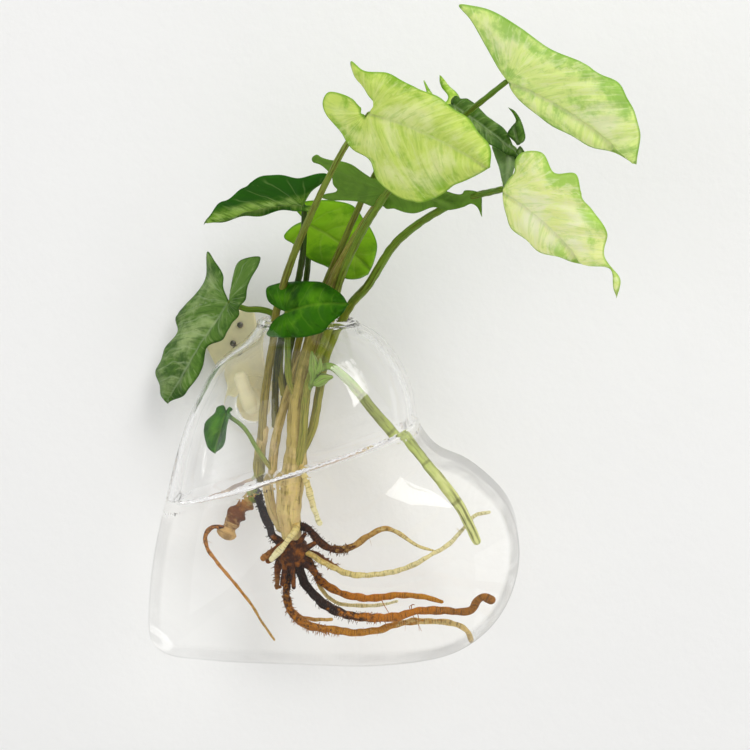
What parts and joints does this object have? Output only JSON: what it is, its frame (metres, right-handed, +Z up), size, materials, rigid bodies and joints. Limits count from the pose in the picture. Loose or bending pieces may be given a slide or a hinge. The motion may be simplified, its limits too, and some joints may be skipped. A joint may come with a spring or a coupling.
{
  "type": "hanging terrarium vase",
  "caption": "Heart-shaped clear glass wall vase, part filled with water, holding a rooted arrowhead cutting; its flat back hangs by a hole on a nailed wall hook.",
  "frame": {"origin": "on the back face of the hook plate, straight behind the middle of the round peg that the vase hangs and turns on", "axes": "+Z up, +X right along the wall seen from the room, +Y into the wall; the vase hangs turned 18.5 degrees clockwise, as its level water shows"},
  "size_m": [0.2061, 0.1276, 0.2074],
  "materials": {
    "hook": "warm white, satin",
    "steel": "plain nail steel",
    "glass": "clear, fire polished",
    "water": "clear still water",
    "pale_stem": "tan stem, green above",
    "green_stem": "smooth green leaf stalk",
    "light_leaf": "thin yellow-green leaf",
    "dark_leaf": "thin deep green leaf",
    "grey_leaf": "thin grey-green leaf",
    "orange_root": "wet orange-brown root",
    "dark_root": "wet dark brown root",
    "pale_root": "wet straw root"
  },
  "bodies": {
    "hook": {"wall_hook": "hook", "wall_pin_1": "steel", "wall_pin_2": "steel", "wall_pin_3": "steel"},
    "vase": {"glass_vase": "glass", "water": "water", "shoot_bud": "green_stem", "shoot_stalk": "green_stem"},
    "cutting": {"leaf_top_right": "light_leaf", "leaf_front": "light_leaf", "leaf_right": "light_leaf", "leaf_folded": "grey_leaf", "leaf_upright": "light_leaf", "leaf_under": "grey_leaf", "leaf_left_dark": "dark_leaf", "leaf_backlit": "light_leaf", "leaf_mouth": "dark_leaf", "leaf_left_grey": "grey_leaf", "leaf_inside": "dark_leaf", "main_stem": "pale_stem", "second_stem": "pale_stem", "rear_stem": "pale_stem", "stalk_top_right": "green_stem", "stalk_front": "green_stem", "stalk_right": "green_stem", "stalk_upright": "green_stem", "stalk_left_dark": "green_stem", "stalk_backlit": "green_stem", "stalk_mouth": "green_stem", "stalk_left_grey": "green_stem", "stalk_inside": "green_stem", "root_crown": "dark_root", "root_stub_rear": "pale_root", "root_thin_left": "orange_root", "root_black_rear": "dark_root", "root_pale_up": "pale_root", "root_pale_stub": "pale_root", "root_brown_stub": "orange_root", "root_upper_right": "orange_root", "root_pale_long": "pale_root", "root_short_front": "orange_root", "root_orange_middle": "orange_root", "root_dark_long": "dark_root", "root_golden_low": "orange_root", "root_pale_low": "pale_root", "root_thin_low": "orange_root", "root_short_left": "orange_root"}
  },
  "joints": [
    {"name": "vase_swing", "type": "hinge", "parent": "hook", "child": "vase", "pos_m": [0, 0, 0], "axis": [0, 1, 0], "range_deg": [-60, 20]},
    {"name": "cutting_lift", "type": "slide", "parent": "vase", "child": "cutting", "axis": [0.3173, 0, 0.9483], "range_m": [0, 0.005], "deforming": ["water"]}
  ]
}
